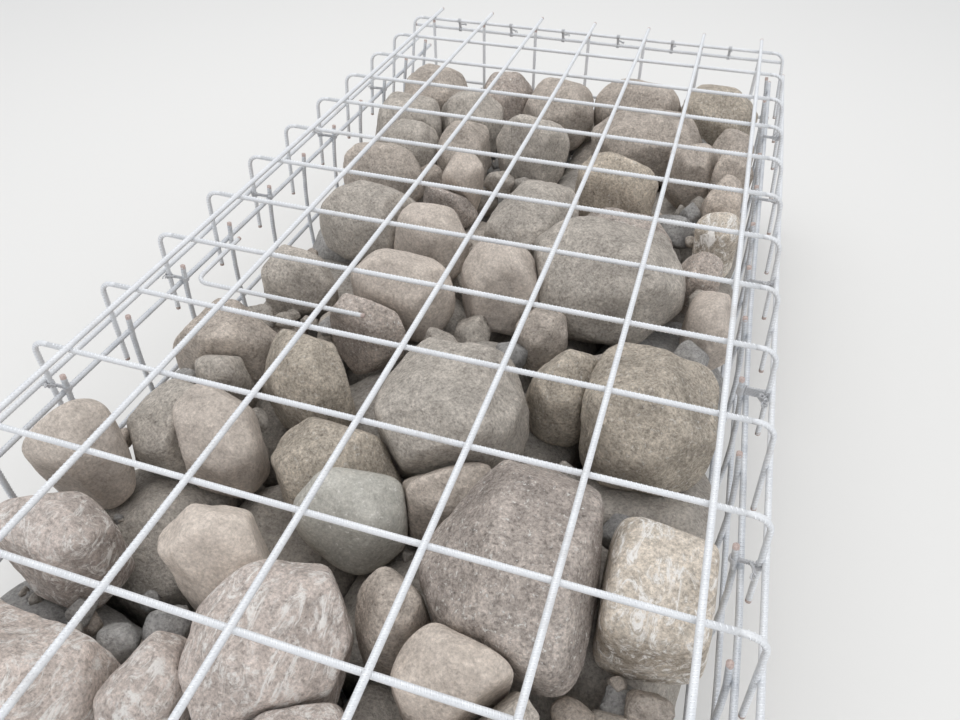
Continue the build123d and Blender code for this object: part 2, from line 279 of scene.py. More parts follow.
def with_end_rings(points, cut):
    """Adds a ring close to each cut end, where the rust stops."""
    points = list(points)
    for is_cut, end, inner, place in ((cut[0], 0, 1, 1), (cut[1], -1, -2, -1)):
        if is_cut:
            step = points[inner] - points[end]
            points.insert(place, points[end] + step / np.linalg.norm(step) * RUST_LENGTH)
    return np.array(points)


def bent_path(start, runs):
    """Middle line across the wall, as (x, z): straights (length,) and arcs (radius, turn)."""
    points = [np.array(start, float)]
    angle = 0.0
    for run in runs:
        if len(run) == 1:
            points.append(points[-1] + run[0] * np.array([math.cos(angle), math.sin(angle)]))
            continue
        radius, turn = run
        half = math.radians(turn) / ARC_STEPS / 2
        chord = 2 * radius * math.sin(abs(half))
        for _ in range(ARC_STEPS):
            angle += half
            points.append(points[-1] + chord * np.array([math.cos(angle), math.sin(angle)]))
            angle += half
    return np.array(points)


def wobbly(start, end, amount, count=ACROSS_POINTS, drop=0.0):
    """A nearly straight line whose middle wanders by up to the amount, and sags by the drop."""
    start, end = np.array(start, float), np.array(end, float)
    t = np.linspace(0, 1, count)
    line = start + (end - start) * t[:, None]
    across = np.array([end[1] - start[1], start[0] - end[0], 0.0])
    across /= np.linalg.norm(across)
    phases = [rng.uniform(0, FULL_TURN) for _ in range(3)]
    waves = [
        math.pow(WAVE_FALL, k) * np.sin((k + WAVE_FIRST) * WAVE_TURNS * t + phase)
        for k, phase in enumerate(phases)
    ]
    fade = np.minimum(1, np.minimum(t, 1 - t) * END_HOLD)
    line += across * (sum(waves) / 2 * fade * amount)[:, None]
    line[:, 2] -= drop * (0.5 + 0.5 * np.sin(SAG_TURNS * t + phases[0])) * fade
    return line


def pushed(table, y):
    """How far a side stands out of its drawn place at y along the wall."""
    return float(np.interp(y, *zip(*table)))


def level_x(path, z):
    """How far out an (x, z) path is at a level."""
    order = np.argsort(path[:, 1])
    return float(np.interp(z, path[order, 1], path[order, 0]))


def in_wall(path, y, side):
    """Places an (x, z) path at y along the wall, on its side."""
    return np.stack([path[:, 0] * side, np.full(len(path), y), path[:, 1]], 1)


# Materials

def new_material(name):
    material = bpy.data.materials.new(name)
    material.use_nodes = True
    tree = material.node_tree
    return material, tree, tree.nodes["Principled BSDF"]


def rgba(value):
    return (value, value, value, 1) if isinstance(value, (int, float)) else (*value, 1)


def feed(tree, socket, value):
    if isinstance(value, bpy.types.NodeSocket):
        tree.links.new(value, socket)
    else:
        socket.default_value = rgba(value) if socket.type == "RGBA" else value


def node(tree, kind, **values):
    """A node whose inputs are fed and whose other values are set, in the order given."""
    made = tree.nodes.new(kind)
    for key, value in values.items():
        if key in made.inputs:
            feed(tree, made.inputs[key], value)
        else:
            setattr(made, key, value)
    return made


def ramp(tree, source, *stops):
    made = node(tree, "ShaderNodeValToRGB", Fac=source)
    elements = made.color_ramp.elements
    elements[0].position, elements[0].color = stops[0][0], rgba(stops[0][1])
    elements[1].position, elements[1].color = stops[-1][0], rgba(stops[-1][1])
    for position, color in stops[1:-1]:
        elements.new(position).color = rgba(color)
    return made.outputs["Color"]


def mix(tree, factor, a, b, blend="MIX"):
    values = {"data_type": "RGBA", "blend_type": blend, "Factor": factor, "A": a, "B": b}
    return node(tree, "ShaderNodeMix", **values).outputs["Result"]


def toned(tree, color, tone, amount):
    """The colour made darker or lighter by a tone about 1."""
    return mix(tree, amount, color, tone, "MULTIPLY")


def math_node(tree, operation, *values):
    made = node(tree, "ShaderNodeMath", operation=operation)
    for socket, value in zip(made.inputs, values):
        feed(tree, socket, value)
    return made.outputs[0]


def times(tree, a, b):
    return math_node(tree, "MULTIPLY", a, b)


def place_of(tree):
    return node(tree, "ShaderNodeTexCoord").outputs["Object"]


def noise_of(tree, place, scale, detail=4.0, roughness=0.6, distortion=0.0):
    values = {"Scale": scale, "Detail": detail, "Roughness": roughness, "Distortion": distortion}
    return node(tree, "ShaderNodeTexNoise", Vector=place, **values).outputs["Fac"]


def linear(tone):
    """An sRGB tone of 0 to 255 as the shader's colour."""
    return tuple(round((c / 255) ** 2.2, 4) for c in tone)


def attribute(tree, name):
    return node(tree, "ShaderNodeAttribute", attribute_name=name).outputs["Fac"]


TINT_SHIFT = 40.0


def shifted(tree, place, tint):
    """The place moved by the boulder's own tint, so that no two boulders share a pattern."""
    made = node(tree, "ShaderNodeVectorMath", operation="ADD")
    tree.links.new(place, made.inputs[0])
    tree.links.new(times(tree, tint, TINT_SHIFT), made.inputs[1])
    return made.outputs[0]


def bump_of(tree, height, distance, strength, below=None):
    made = node(tree, "ShaderNodeBump", Strength=strength, Distance=distance, Height=height)
    if below is not None:
        tree.links.new(below, made.inputs["Normal"])
    return made.outputs["Normal"]


DIRT_TONE = (0.42, 0.37, 0.32)
DARK_RUST = (0.42, 0.31, 0.27)
PALE_RUST = (0.66, 0.52, 0.47)


def steel_material(name, bright, dull, metallic, roughness):
    """Galvanised ribbed bar: pale zinc with dull patches, dust, rust at the cut ends, and painted shade
    between the ribs with painted highlights on their crests.
    """
    material, tree, shader = new_material(name)
    place = place_of(tree)
    patches = noise_of(tree, place, 26, detail=6, roughness=0.7)
    color = mix(tree, ramp(tree, patches, (0.34, 0.0), (0.62, 1.0)), dull, bright)
    # Painted shade between the ribs and painted highlight on their crests
    rib_shading = ramp(tree, attribute(tree, "rib_shading"), (0.0, 0.72), (RIBBED_BAR_SHADING, 0.84), (1.0, 1.05))
    color = toned(tree, color, rib_shading, 1.0)
    grain = ramp(tree, noise_of(tree, place, 420, detail=3), (0.35, 0.80), (0.6, 1.0))
    color = toned(tree, color, grain, 0.5)
    smears = noise_of(tree, place, 7, detail=6, roughness=0.7, distortion=0.6)
    dirt = ramp(tree, smears, (0.58, 0.0), (0.74, 0.4))
    color = mix(tree, dirt, color, DIRT_TONE)
    ragged = times(tree, noise_of(tree, place, 260), 0.7)
    rust = ramp(tree, math_node(tree, "ADD", attribute(tree, "rust"), ragged), (0.80, 0.0), (1.1, 0.9))
    rust_color = ramp(tree, noise_of(tree, place, 500), (0.35, DARK_RUST), (0.65, PALE_RUST))
    color = mix(tree, rust, color, rust_color)
    tree.links.new(color, shader.inputs["Base Color"])
    bare = math_node(tree, "SUBTRACT", 1.0, math_node(tree, "MAXIMUM", rust, dirt))
    tree.links.new(times(tree, bare, metallic), shader.inputs["Metallic"])
    uneven = times(tree, noise_of(tree, place, 60), 0.25)
    rough = math_node(tree, "ADD", uneven, roughness - 0.12)
    rough = math_node(tree, "MAXIMUM", rough, times(tree, rust, 0.9))
    tree.links.new(rough, shader.inputs["Roughness"])
    wave = math_node(tree, "SINE", times(tree, attribute(tree, "along"), 2 * math.pi / RIB_STEP))
    ribs = bump_of(tree, wave, 0.0004, 0.8)
    zinc = bump_of(tree, noise_of(tree, place, 700, detail=2), 0.00025, 0.7, ribs)
    tree.links.new(zinc, shader.inputs["Normal"])
    return material


# Stops of the stones' ramps
BOULDER_HUES = ((0.0, (0.915, 0.93, 0.935)), (0.5, (0.97, 0.985, 0.99)), (1.0, (1.04, 1.035, 1.02)))
BLOTCH_TONES = ((0.34, (0.84, 0.83, 0.82)), (0.50, (1.0, 1.0, 1.0)), (0.66, (1.12, 1.11, 1.10)))
GRAIN_TONES = ((0.36, 0.66), (0.48, 0.95), (0.54, 1.05), (0.66, 1.34))
COARSE_TONES = ((0.36, 0.78), (0.50, 1.0), (0.64, 1.18))
WEAR_AND_SHADE_TONES = ((0.1, 0.80), (0.5, 1.0), (0.9, 1.16))
SCUFF_TONE = (247, 243, 238)
SPECK_TONE = (234, 231, 226)


def stone_material(name, light, dark, grit=1.0, pitted=0.0, scuffs=0.0, specks=0.0, relief=1.0):
    """Natural boulder: mottled tones, worn edges, painted shade in the hollows, dust on top, grains, pits
    with painted shade inside them, and scuffs.
    """
    material, tree, shader = new_material(name)
    light, dark = linear(light), linear(dark)
    place = place_of(tree)
    tint = attribute(tree, "tint")
    moved = shifted(tree, place, tint)
    patches = noise_of(tree, moved, 7.5, detail=8, roughness=0.66, distortion=0.6)
    color = mix(tree, ramp(tree, patches, (0.36, 0.0), (0.64, 1.0)), dark, light)
    color = toned(tree, color, ramp(tree, tint, *BOULDER_HUES), 1.0)
    blotches = noise_of(tree, moved, 28, detail=7, roughness=0.72, distortion=0.8)
    color = toned(tree, color, ramp(tree, blotches, *BLOTCH_TONES), 0.9)
    outward = node(tree, "ShaderNodeNewGeometry").outputs["Normal"]
    up = node(tree, "ShaderNodeSeparateXYZ", Vector=outward)
    facing = ramp(tree, up.outputs["Z"], (0.1, 0.0), (0.85, 1.0))
    broken = ramp(tree, noise_of(tree, moved, 18, detail=9, roughness=0.78), (0.38, 0.0), (0.60, 1.0))
    dusty = times(tree, times(tree, facing, broken), 0.55)
    color = mix(tree, dusty, color, tuple(min(1.0, c * 1.10 + 0.03) for c in light))
    # Lighter on worn edges, and darker in the hollows as painted shade
    color = toned(tree, color, ramp(tree, attribute(tree, "wear_and_shade"), *WEAR_AND_SHADE_TONES), 0.75)
    grains = noise_of(tree, moved, 230, detail=4, roughness=0.75)
    color = toned(tree, color, ramp(tree, grains, *GRAIN_TONES), min(1.0, 0.80 * grit))
    coarse = noise_of(tree, moved, 95, detail=4, roughness=0.72, distortion=0.4)
    color = toned(tree, color, ramp(tree, coarse, *COARSE_TONES), min(1.0, 0.72 * grit))
    lumps = noise_of(tree, moved, 30, detail=8, roughness=0.68, distortion=0.5)
    surface = bump_of(tree, lumps, 0.010 * relief, 0.8)
    surface = bump_of(tree, coarse, 0.0036 * relief, 0.9, surface)
    surface = bump_of(tree, grains, 0.0016 * relief, 0.9, surface)
    if pitted:
        pits = node(tree, "ShaderNodeTexVoronoi", Vector=moved, Scale=105.0, Randomness=1.0)
        depth = math_node(tree, "ADD", pits.outputs["Distance"], times(tree, coarse, 0.7))
        pit_mask = ramp(tree, depth, (0.46, 0.0), (0.62, 1.0))
        # Painted shade: the pits are darker inside, where the bump dents them
        color = toned(tree, color, ramp(tree, pit_mask, (0.0, 0.66), (1.0, 1.05)), pitted)
        surface = bump_of(tree, pit_mask, 0.0016, pitted, surface)
    if scuffs:
        turned = {"Scale": (1.0, 0.42, 0.8), "Rotation": (0.3, 0.2, 0.7)}
        streaks = node(tree, "ShaderNodeMapping", Vector=moved, **turned)
        marks = noise_of(tree, streaks.outputs[0], 46, detail=8, roughness=0.80, distortion=1.6)
        color = mix(tree, ramp(tree, marks, (0.51, 0.0), (0.60, scuffs)), color, linear(SCUFF_TONE))
    if specks:
        marks = noise_of(tree, moved, 150, detail=3, roughness=0.7)
        color = mix(tree, ramp(tree, marks, (0.60, 0.0), (0.68, specks)), color, linear(SPECK_TONE))
    tree.links.new(color, shader.inputs["Base Color"])
    shader.inputs["Roughness"].default_value = 0.95
    shader.inputs["Specular IOR Level"].default_value = 0.15
    tree.links.new(surface, shader.inputs["Normal"])
    return material


# Kinds of rock, as (light tone, dark tone, and what the surface has)
ROCKS = {
    "taupe": ((200, 188, 177), (167, 157, 148), dict(grit=1.1, pitted=0.3)),
    "beige": ((208, 196, 185), (178, 167, 158), dict(grit=0.8, relief=0.6)),
    "pale": ((218, 206, 192), (170, 158, 144), dict(grit=1.2, scuffs=1.0, relief=0.8)),
    "white": ((222, 209, 197), (190, 178, 168), dict(grit=0.7, relief=0.5)),
    "pink": ((214, 201, 193), (174, 161, 153), dict(grit=1.1, pitted=0.25, scuffs=0.9)),
    "dark": ((200, 188, 179), (158, 147, 140), dict(grit=1.9, pitted=0.45, specks=0.9, relief=1.2)),
    "grey": ((197, 188, 178), (161, 153, 145), dict(grit=1.1, pitted=0.25)),
    "sandy": ((199, 187, 172), (163, 153, 141), dict(grit=1.4, pitted=0.25, specks=0.5, relief=1.1)),
    "green": ((192, 189, 181), (172, 170, 163), dict(grit=0.7, specks=0.6, relief=0.5)),
    # Darker, greyer tones as painted shade for the stones lower down and the rubble, deep in the fill
    "shaded": ((174, 171, 168), (145, 143, 142), dict(grit=1.0, pitted=0.25)),
    "shaded_brown": ((178, 171, 163), (148, 142, 136), dict(grit=1.0, pitted=0.25)),
}
STONES = {
    kind: stone_material("stone_" + kind, light, dark, **surface)
    for kind, (light, dark, surface) in ROCKS.items()
}
KIND_ORDER = list(STONES)
STEEL_LID = steel_material("steel_lid", (0.95, 0.965, 0.985), (0.86, 0.88, 0.91), 0.1, 0.42)
# Bars of the tray and base: the zinc made darker, as painted shade for bars down under the lid and among
# the stones
STEEL_TRAY_SHADED = steel_material("steel_tray_shaded", (0.84, 0.86, 0.89), (0.66, 0.69, 0.73), 0.2, 0.45)
WIRE = steel_material("tie_wire", (0.88, 0.89, 0.91), (0.70, 0.70, 0.72), 0.2, 0.5)

# Boulders whose rock the photo shows plainly, by their place in bays of the mesh: across
# from the middle, along from the first cross bar
STONE_KINDS = {
    "beige": (
        (-2.95, 2.58), (0.30, 6.57), (-0.92, 6.11), (1.42, 1.51),
        (-1.12, 7.36), (2.88, 6.70), (-1.09, 8.95), (-1.78, 3.25),
    ),
    "white": ((-0.96, 1.93),),
    "pale": ((2.95, 2.65), (2.82, 8.59)),
    "pink": ((-0.12, 1.32), (-2.40, 1.67), (-1.95, 0.40), (-0.84, 0.79), (1.75, 0.40), (0.49, 0.50)),
    "dark": ((1.70, 2.58), (-1.17, 8.70), (2.67, 7.73), (-1.06, 5.06), (-1.35, 12.30), (1.52, 8.23)),
    "green": ((-0.06, 2.76),),
    "grey": ((0.46, 4.15), (1.46, 6.98), (0.34, 8.00), (-2.33, 3.33), (-1.86, 7.52), (-0.33, 10.36)),
    "sandy": ((-0.41, 3.21), (-1.30, 4.23), (2.33, 4.75), (1.47, 4.91), (1.23, 9.31), (2.50, 12.35)),
}
KIND_REACH = 0.34
ROUND_KINDS = ("beige", "pale", "green")
COMMON_KINDS = ("taupe", "taupe", "grey")
# The stones lower down mostly take the tones painted as shade
LOWER_KINDS = ("shaded", "shaded_brown", "shaded", "shaded_brown", "grey")
RUBBLE_KINDS = ("shaded", "shaded_brown", "grey", "taupe")


# Boulders

WELD = 1e-5
LEAST_AREA = 1e-7


def islands(obj):
    """The separate solids of a CAD node, each as its corner points and outward planes."""
    bm = bmesh.new()
    bm.from_mesh(obj.data)
    bmesh.ops.remove_doubles(bm, verts=bm.verts, dist=WELD)
    bm.faces.ensure_lookup_table()
    seen = set()
    found = []
    for face in bm.faces:
        if face.index in seen:
            continue
        stack, members = [face], []
        seen.add(face.index)
        while stack:
            one = stack.pop()
            members.append(one)
            for edge in one.edges:
                for beside in edge.link_faces:
                    if beside.index not in seen:
                        seen.add(beside.index)
                        stack.append(beside)
        corners = dict.fromkeys(v for f in members for v in f.verts)
        wide = [f for f in members if f.calc_area() > LEAST_AREA]
        found.append((
            np.array([v.co[:] for v in corners]),
            np.array([f.normal[:] for f in wide]),
            np.array([f.verts[0].co[:] for f in wide]),
        ))
    bm.free()
    return found


PLANE_DIGITS = 3
POINT_DIGITS = 5
LEAST_LIMIT = 0.004
TOP_LEAN = 0.3


def planes_about(middle, normals, spots):
    """Planes without repeats, as their normals and their distances from the middle."""
    limits = np.einsum("ij,ij->i", normals, spots - middle)
    keys = np.round(np.concatenate([normals, limits[:, None]], 1), PLANE_DIGITS)
    kept = np.unique(keys, axis=0, return_index=True)[1]
    return normals[kept], np.maximum(limits[kept], LEAST_LIMIT)


def geodesic(steps):
    """Unit sphere of 20 * steps ** 2 triangles, finer towards its top."""
    bm = bmesh.new()
    bmesh.ops.create_icosphere(bm, subdivisions=1, radius=1.0)
    corners = [tuple(v.co for v in f.verts) for f in bm.faces]
    verts, faces, index = [], [], {}

    def at(point):
        key = tuple(round(c, POINT_DIGITS) for c in point)
        if key not in index:
            index[key] = len(verts)
            verts.append(point[:])
        return index[key]

    for a, b, c in corners:
        rows = []
        for i in range(steps + 1):
            rows.append([at((a * (steps - i) + b * (i - j) + c * j).normalized()) for j in range(i + 1)])
        for i in range(steps):
            for j in range(i + 1):
                faces.append((rows[i][j], rows[i + 1][j], rows[i + 1][j + 1]))
                if j < i:
                    faces.append((rows[i][j], rows[i + 1][j + 1], rows[i][j + 1]))
    bm.free()
    return unit(np.array(verts) + (0, 0, TOP_LEAN)), np.array(faces)


SPHERES = {}


def sphere(steps):
    if steps not in SPHERES:
        SPHERES[steps] = geodesic(steps)
    return SPHERES[steps]


def beside_mean(values, faces):
    """For each point, the mean of the values at the other corners of its triangles."""
    total, count = np.zeros_like(values), np.zeros(len(values))
    for i in range(3):
        for j in (1, 2):
            np.add.at(total, faces[:, i], values[faces[:, (i + j) % 3]])
            np.add.at(count, faces[:, i], 1)
    return (total.T / count).T


FLAT_WEAR_AND_SHADE = 0.5
WEAR_AND_SHADE_GAIN = 3.0


def wear_and_shade_of(verts, faces):
    """How far each point stands out of its neighbours: 0.5 is flat, 1 an edge, 0 a hollow."""
    a, b, c = (verts[faces[:, i]] for i in range(3))
    cross = np.cross(b - a, c - a)
    normals = np.zeros_like(verts)
    for i in range(3):
        np.add.at(normals, faces[:, i], cross)
    normals /= np.linalg.norm(normals, axis=1)[:, None] + 1e-12
    bend = np.einsum("ij,ij->i", verts - beside_mean(verts, faces), normals)
    bend = bend / np.sqrt(np.linalg.norm(cross, axis=1).mean())
    for _ in range(2):
        bend = 0.5 * bend + 0.5 * beside_mean(bend, faces)
    return np.clip(FLAT_WEAR_AND_SHADE + (bend - np.median(bend)) * WEAR_AND_SHADE_GAIN, 0, 1)


def half_size(points):
    return float(np.mean(points.max(0) - points.min(0))) / 2


# How a boulder's planes are blended and chipped, and the depth and scale of its wear
ROUNDED_BLEND = (11, 14)
ANGULAR_BLEND = (18, 30)
CHIP_SIDE = (0, 0, 0.5)
CHIP_DEPTH = (0.90, 1.02)
WORN_SHARE = 0.6
LUMP_DEPTH = 0.0055
LUMP_SCALE = 9
RIDGE_DEPTH = 0.0016
RIDGE_SCALE = 15
GRIT_DEPTH = 0.0005
GRIT_SCALE = 75
FINE_GRIT_SCALE = 160
FINE_GRIT = 0.6
FRACTAL = (0.9, 2.1, 3)
LARGE_STONE = 0.09
MOST_ROUGH = 1.3
ROUNDED_ROUGH = 0.6
PROUD_FROM = 0.7
MOST_PROUD = 0.001
NOISE_REACH = 50


def boulder(points, normals, spots, steps, seed, rounded, chipped):
    """A natural boulder inside a faceted solid: its planes blended, chipped and worn."""
    middle = (points.min(0) + points.max(0)) / 2
    normals, limits = planes_about(middle, normals, spots)
    directions, faces = sphere(steps)
    local = random.Random(seed)
    blend = local.uniform(*(ROUNDED_BLEND if rounded else ANGULAR_BLEND))
    chips = unit(np.array([[local.gauss(mean, 1) for mean in CHIP_SIDE] for _ in range(chipped)]))
    depth = np.array([local.uniform(*CHIP_DEPTH) for _ in chips])
    chip_limits = depth / np.max(np.maximum(chips @ normals.T, 0) / limits, axis=1)
    all_normals = np.concatenate([normals, chips])
    all_limits = np.concatenate([limits, chip_limits])
    ratio = np.maximum(directions @ all_normals.T, 0) / all_limits
    radial = (ratio ** blend).sum(1) ** (-1 / blend)
    cap = 1 / np.max(np.maximum(directions @ normals.T, 0) / limits, axis=1)
    radial = np.minimum(radial / np.quantile(radial / cap, WORN_SHARE), cap)
    rough = min(MOST_ROUGH, half_size(points) / LARGE_STONE) * (ROUNDED_ROUGH if rounded else 1.0)
    shift = Vector([local.uniform(-NOISE_REACH, NOISE_REACH) for _ in range(3)])
    worn = np.empty(len(directions))
    for i, p in enumerate(directions * radial[:, None]):
        at = Vector(p)
        lumps = noise.fractal(at * LUMP_SCALE + shift, *FRACTAL)
        ridges = noise.ridged_multi_fractal(at * RIDGE_SCALE + shift, *FRACTAL, 1.0, 2.0)
        grit = noise.noise(at * GRIT_SCALE + shift) + FINE_GRIT * noise.noise(at * FINE_GRIT_SCALE + shift)
        worn[i] = LUMP_DEPTH * lumps + RIDGE_DEPTH * ridges + GRIT_DEPTH * grit
    worn -= np.quantile(worn, PROUD_FROM)
    radial = radial + np.minimum(worn * rough, MOST_PROUD)
    verts = directions * radial[:, None]
    return middle + verts, faces, wear_and_shade_of(verts, faces)


class Rocks:
    """Stones gathered into one mesh, each of one kind of rock."""

    def __init__(self):
        self.verts, self.faces = [], []
        self.kinds, self.tints, self.wears_and_shades = [], [], []
        self.count = 0

    def add(self, verts, faces, kind, tint, wear_and_shade):
        self.verts.append(verts)
        self.faces.append(faces + self.count)
        self.kinds += [KIND_ORDER.index(kind)] * len(faces)
        self.tints += [tint] * len(verts)
        self.wears_and_shades.append(wear_and_shade)
        self.count += len(verts)

    def shape(self):
        return np.concatenate(self.verts), np.concatenate(self.faces)

    def piece(self, name, slot):
        verts, faces = self.shape()
        attributes = {"tint": self.tints, "wear_and_shade": np.concatenate(self.wears_and_shades)}
        piece = make_piece(name, verts.tolist(), faces.tolist(), STONES.values(), attributes)
        piece.data.polygons.foreach_set("material_index", np.array(self.kinds, np.int32))
        return piece


def kind_of(place):
    """The rock that the photo shows at a place, or None."""
    bay = (place[0] / PITCH, (place[1] - CROSS_BARS[0]) / PITCH)
    near = []
    for kind, places in STONE_KINDS.items():
        near += [(math.hypot(bay[0] - spot[0], bay[1] - spot[1]), kind) for spot in places]
    distance, kind = min(near)
    return kind if distance < KIND_REACH else None


FEWEST_STEPS = 12
MOST_STEPS = 38
STEPS_IN_VIEW = 250


def fineness(middle, size, top):
    """Steps of the boulder's mesh: more for one that is large or near the viewer."""
    if not top:
        return FEWEST_STEPS
    seen = size / (Vector(middle) - CAMERA_PLACE).length
    return int(max(FEWEST_STEPS, min(MOST_STEPS, STEPS_IN_VIEW * seen)))


ROUNDED_CHIPS = 3
TOP_CHIPS = 8
LOWER_CHIPS = 14


def dress_stones():
    """Dresses every row of boulders, and returns the rows' shapes."""
    shapes = []
    seed = BOULDER_SEED
    for name in sorted(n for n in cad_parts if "_stones_" in n):
        top = name.startswith("top")
        rocks = Rocks()
        for points, normals, spots in islands(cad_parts[name]):
            seed += 1
            local = random.Random(seed * 7)
            middle = points.mean(0)
            kind = (top and kind_of(middle)) or local.choice(COMMON_KINDS if top else LOWER_KINDS)
            rounded = kind in ROUND_KINDS
            chipped = ROUNDED_CHIPS if rounded and top else TOP_CHIPS if top else LOWER_CHIPS
            steps = fineness(middle, half_size(points), top)
            verts, faces, wear_and_shade = boulder(points, normals, spots, steps, seed, rounded, chipped)
            rocks.add(verts, faces, kind, local.random(), wear_and_shade)
        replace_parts(rocks.piece(name + "_rock", "top_stone" if top else "lower_stone"), name)
        shapes.append(rocks.shape())
    return shapes


# Small stones, dropped between the boulders to be wedged in gaps, or lying together in hollows
SMALL_STONE_CHIPS = 2
PLANE_LEAN = 0.35
PLANE_REACH = (0.8, 1.1)
SQUASH = (0.7, 1.2)
SNUG = 0.8
RESTING = 0.85
APART = 0.8
DROP_STEP = 0.004
DROP_Z = 0.6
DOWN = Vector((0, 0, -1))
RUBBLE_TOP = 0.30
WEDGE_TRIES = 6000
WEDGE_SIZES = (0.018, 0.044)
WEDGE_STEPS = 5
LEAST_WEDGED = 0.012
MOST_STONES = 200
FILL_HALF_X = 0.466
FILL_HALF_Y = 0.966
WALL_ROOM = 1.3
BESIDE_WALL_X = 0.33
BESIDE_WALL_Y = 0.78
WALL_GAP_Z = 0.24
GAP_Z = 0.13
HIDDEN_SIZE = 0.04
HOLLOW_TRIES = 3000
HOLLOWS = 14
HOLLOW_HALF_X = 0.43
HOLLOW_HALF_Y = 0.93
HOLLOW_LOW_Z = 0.12
HOLLOW_HIGH_Z = 0.26
HOLLOW_FACING = 0.85
PEBBLES = 6
PEBBLE_SIZES = (0.004, 0.011)
PEBBLE_STEPS = 4
PEBBLE_SPREAD = 0.016
PEBBLE_LEVEL = 0.02
PEBBLE_FACING = 0.8
PEBBLE_LIFT = 0.5

# Gaps at the far end, as the place and height that a small stone is dropped from
HIDDEN_GAPS = ((0.022, 0.928, 0.235), (-0.004, 0.926, 0.200), (-0.012, 0.916, 0.160))


def small_stone(size, steps, seed):
    """A small broken stone about its own middle, as points and triangles."""
    local = random.Random(seed)
    angle = local.uniform(0, FULL_TURN)
    turn = np.array(Matrix.Rotation(angle, 3, [local.gauss(0, 1) for _ in range(3)]))
    normals = sphere(1)[0] @ turn
    leans = [[local.uniform(-PLANE_LEAN, PLANE_LEAN) for _ in range(3)] for _ in normals]
    normals = unit(normals + leans)
    squash = [local.uniform(*SQUASH) for _ in range(3)]
    spots = normals * np.array([[size * local.uniform(*PLANE_REACH)] for _ in normals]) * squash
    middle = (spots.min(0) + spots.max(0)) / 2
    shape, triangles, _ = boulder(spots, normals, spots, steps, seed, False, SMALL_STONE_CHIPS)
    return shape - middle, triangles


def boulder_tree(shapes):
    """Search tree over the boulders of every row."""
    faces, count = [], 0
    for row_verts, row_faces in shapes:
        faces.append(row_faces + count)
        count += len(row_verts)
    verts = np.concatenate([row_verts for row_verts, _ in shapes])
    return BVHTree.FromPolygons(verts.tolist(), np.concatenate(faces).tolist())


def wedged_place(tree, x, y, top, size, others):
    """Where a small stone dropped down a gap comes to rest, and the size that fits there."""
    floor = TRAY_CROSS_Z + BAR / 2
    nearest = tree.find_nearest(Vector((x, y, top)))[3]
    size = min(size, nearest / SNUG)
    z = top
    while z > floor + size:
        place = Vector((x, y, z))
        if tree.find_nearest(place)[3] < SNUG * size:
            return place, size
        if any((place - other).length < RESTING * (size + reach) for other, reach in others):
            return place, size
        z -= DROP_STEP
    return Vector((x, y, floor + size)), size


def dropped(tree, x, y):
    """Where something dropped at a place meets the boulders, and the way they face there."""
    return tree.ray_cast(Vector((x, y, DROP_Z)), DOWN)[:2]


def wedged_stones(tree, local):
    """Places and sizes of the stones in the gaps between the boulders and beside the walls."""
    placed = []
    for x, y, top in HIDDEN_GAPS:
        placed.append(wedged_place(tree, x, y, top, HIDDEN_SIZE, placed))
    for _ in range(WEDGE_TRIES):
        size = local.uniform(*WEDGE_SIZES)
        half_x, half_y = FILL_HALF_X - WALL_ROOM * size, FILL_HALF_Y - WALL_ROOM * size
        x, y = local.uniform(-half_x, half_x), local.uniform(-half_y, half_y)
        beside_wall = abs(x) > BESIDE_WALL_X or abs(y) > BESIDE_WALL_Y
        hit, _ = dropped(tree, x, y)
        if hit is not None and hit.z > (WALL_GAP_Z if beside_wall else GAP_Z):
            continue
        place, size = wedged_place(tree, x, y, RUBBLE_TOP, size, placed)
        if size > LEAST_WEDGED and len(placed) < MOST_STONES:
            if all((place - other).length > APART * (size + reach) for other, reach in placed):
                placed.append((place, size))
    return placed


def hollow_pebbles(tree, local):
    """Places and sizes of the pebbles that lie together in hollows of the boulders."""
    pebbles = []
    hollows = 0
    for _ in range(HOLLOW_TRIES):
        x = local.uniform(-HOLLOW_HALF_X, HOLLOW_HALF_X)
        y = local.uniform(-HOLLOW_HALF_Y, HOLLOW_HALF_Y)
        hit, facing = dropped(tree, x, y)
        if hollows >= HOLLOWS or hit is None or facing.z < HOLLOW_FACING:
            continue
        if hit.z > HOLLOW_HIGH_Z or hit.z < HOLLOW_LOW_Z:
            continue
        hollows += 1
        for _ in range(PEBBLES):
            beside_x, beside_y = (middle + local.gauss(0, PEBBLE_SPREAD) for middle in (x, y))
            landed, facing = dropped(tree, beside_x, beside_y)
            size = local.uniform(*PEBBLE_SIZES)
            if landed is not None and abs(landed.z - hit.z) < PEBBLE_LEVEL and facing.z > PEBBLE_FACING:
                pebbles.append((landed + Vector((0, 0, size * PEBBLE_LIFT)), size))
    return pebbles


def dress_rubble(shapes):
    """The small stones of every kind, as one piece."""
    tree = boulder_tree(shapes)
    local = random.Random(RUBBLE_SEED)
    stones = [(place, size, WEDGE_STEPS) for place, size in wedged_stones(tree, local)]
    stones += [(place, size, PEBBLE_STEPS) for place, size in hollow_pebbles(tree, local)]
    rubble = Rocks()
    for number, (place, size, steps) in enumerate(stones):
        verts, faces = small_stone(size, steps, SMALL_STONE_SEED + number)
        kind = local.choice(RUBBLE_KINDS)
        rubble.add(verts + np.array(place), faces, kind, local.random(), np.full(len(verts), FLAT_WEAR_AND_SHADE))
    rubble.piece("rubble", "top_stone")


# Cage

UPRIGHT_RUNS = ((BEND_LEAD,), (BEND_RADIUS, 90 - BULGE_ANGLE), (BULGE_RADIUS, 2 * BULGE_ANGLE))
UPRIGHT_PATH = bent_path((TRAY_FLAT_HALF, TRAY_CROSS_Z), UPRIGHT_RUNS)


